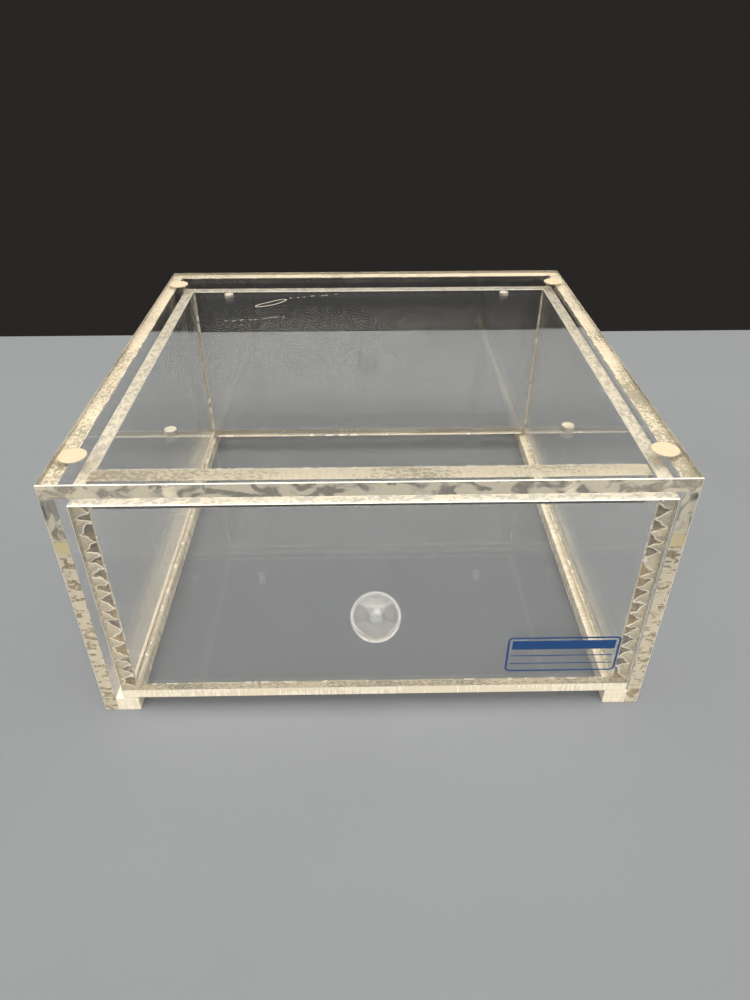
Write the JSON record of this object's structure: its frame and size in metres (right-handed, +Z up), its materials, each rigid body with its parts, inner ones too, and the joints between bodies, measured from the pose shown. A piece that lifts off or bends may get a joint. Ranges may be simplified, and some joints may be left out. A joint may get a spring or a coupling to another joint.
{
  "type": "clear acrylic drawer box",
  "caption": "Clear acrylic open-front housing with a full-width pull-out drawer, ball knob, runner strips and top stacking pads, for storing small lab supplies.",
  "frame": {"origin": "middle of the whole object's footprint, knob included, on the surface that the runners stand on, with the drawer closed", "axes": "+X to the right when facing the knob, +Y to the back, away from the knob, +Z up"},
  "size_m": [0.3048, 0.3282, 0.1544],
  "materials": {
    "acrylic": "polished clear cast acrylic faces, satin saw-cut edges",
    "pad": "satin, cream, slightly translucent",
    "blue_print": "thin screen-printed ink"
  },
  "bodies": {
    "housing": {"top_plate": "acrylic", "left_wall": "acrylic", "right_wall": "acrylic", "rear_wall": "acrylic", "left_runner": "acrylic", "right_runner": "acrylic", "stop_bar": "acrylic", "stacking_pad_front_left": "pad", "stacking_pad_front_right": "pad", "stacking_pad_rear_left": "pad", "stacking_pad_rear_right": "pad"},
    "drawer": {"drawer_front": "acrylic", "drawer_left_side": "acrylic", "drawer_right_side": "acrylic", "drawer_back": "acrylic", "drawer_bottom": "acrylic", "knob": "acrylic"}
  },
  "joints": [
    {"name": "drawer_slide", "type": "slide", "parent": "housing", "child": "drawer", "axis": [0, -1, 0], "range_m": [0, 0.2589]}
  ]
}
